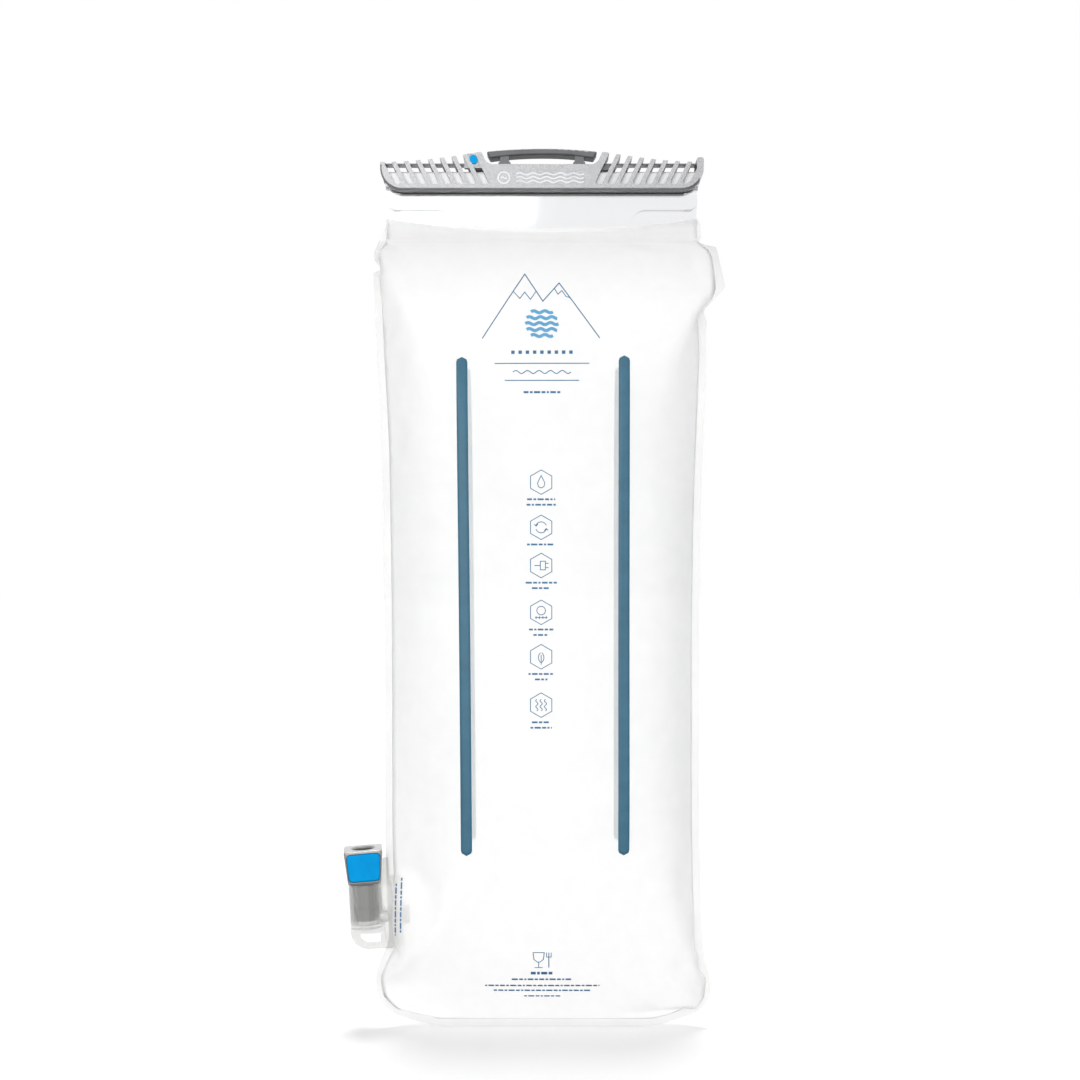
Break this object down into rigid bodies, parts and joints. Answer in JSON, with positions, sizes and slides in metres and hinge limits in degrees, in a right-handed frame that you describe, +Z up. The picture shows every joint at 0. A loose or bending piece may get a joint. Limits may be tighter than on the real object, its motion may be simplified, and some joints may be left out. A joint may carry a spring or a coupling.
{
  "type": "hydration bladder",
  "caption": "Flat welded water bag with internal baffles, a slide-off mouth closure with a hanging grip, and a side port with a push-button hose coupling.",
  "frame": {"origin": "under the middle of the handle grip, where the hanger strap bears", "axes": "+Z up, with the bag hanging below; +X along the mouth closure, away from the hose port and the way the closure slides off; -Y out of the front panel, towards the release button"},
  "size_m": [0.1938, 0.052, 0.4638],
  "materials": {
    "closure_shell": "light grey moulded nylon with a fine speckle",
    "grip": "dark grey soft-touch overmould",
    "marker": "bright blue, satin",
    "rail": "clear, slightly milky thermoplastic polyurethane",
    "film": "clear film with a fine frosted texture",
    "baffle": "blue tinted film",
    "port_clear": "clear moulded thermoplastic polyurethane",
    "valve_grey": "grey moulded acetal",
    "seal": "black silicone",
    "poppet": "white acetal",
    "spring": "stainless spring wire",
    "housing": "mid grey moulded acetal",
    "button": "bright blue, semi-gloss",
    "latch_steel": "stamped stainless steel"
  },
  "bodies": {
    "bag": {"front_panel": "film", "back_panel": "film", "mouth_rail_front": "rail", "mouth_rail_back": "rail", "baffle_left": "baffle", "baffle_right": "baffle", "port_molding": "port_clear", "valve_body": "valve_grey", "valve_o_ring": "seal", "spring_retainer": "valve_grey", "coupling_housing": "housing"},
    "closure": {"slide_closure": "closure_shell", "handle_grip": "grip", "indicator_plug": "marker"},
    "button": {"release_button": "button", "latch_plate": "latch_steel", "latch_spring_left": "spring", "latch_spring_right": "spring"},
    "shutoff": {"poppet": "poppet", "poppet_o_ring": "seal", "poppet_spring": "spring"}
  },
  "joints": [
    {"name": "closure_slide", "type": "slide", "parent": "bag", "child": "closure", "axis": [1, 0, 0], "range_m": [0, 0.175]},
    {"name": "button_press", "type": "slide", "parent": "bag", "child": "button", "axis": [-0.1303, 0.9914, -0.0075], "range_m": [0, 0.0014], "stiffness_N_per_m": 900, "springref_m": -0.0025, "deforming": ["latch_spring_left", "latch_spring_right"]},
    {"name": "poppet_travel", "type": "slide", "parent": "bag", "child": "shutoff", "axis": [0.0576, 0, -0.9983], "range_m": [0, 0.003], "stiffness_N_per_m": 350, "springref_m": -0.003, "deforming": ["poppet_spring"]}
  ]
}
